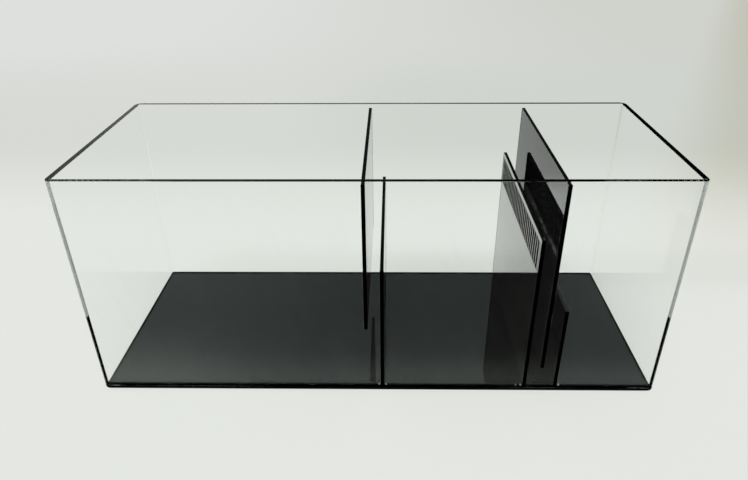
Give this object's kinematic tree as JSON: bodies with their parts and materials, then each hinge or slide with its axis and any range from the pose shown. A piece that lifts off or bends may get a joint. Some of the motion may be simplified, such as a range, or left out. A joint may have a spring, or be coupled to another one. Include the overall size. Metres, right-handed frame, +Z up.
{
  "type": "refugium sump",
  "caption": "Open rectangular tank of clear cemented walls on a black base, with black cross baffles and a slotted overflow weir that divide it into filter chambers.",
  "frame": {"origin": "under the middle of the base plate, on its underside", "axes": "+X along the tank from the inlet chamber to the return chamber, +Y to the back, +Z up"},
  "size_m": [0.914, 0.371, 0.373],
  "materials": {
    "clear_acrylic": "clear cast sheet, polished faces, rims and rounded corners polished",
    "black_acrylic": "black cast sheet, high gloss faces, finely milled edges",
    "cement": "clear set solvent cement with small bubbles"
  },
  "bodies": {
    "root": {"base_plate": "black_acrylic", "front_wall": "clear_acrylic", "back_wall": "clear_acrylic", "left_wall": "clear_acrylic", "right_wall": "clear_acrylic", "inlet_baffle": "black_acrylic", "refugium_inlet_weir": "black_acrylic", "slotted_weir": "black_acrylic", "return_baffle": "black_acrylic", "return_weir": "black_acrylic", "front_wall_foot_bead": "cement", "back_wall_foot_bead": "cement", "left_wall_foot_bead": "cement", "right_wall_foot_bead": "cement", "left_wall_corner_beads": "cement", "right_wall_corner_beads": "cement", "inlet_baffle_beads": "cement", "refugium_inlet_weir_beads": "cement", "slotted_weir_beads": "cement", "return_baffle_beads": "cement", "return_weir_beads": "cement"}
  },
  "joints": []
}
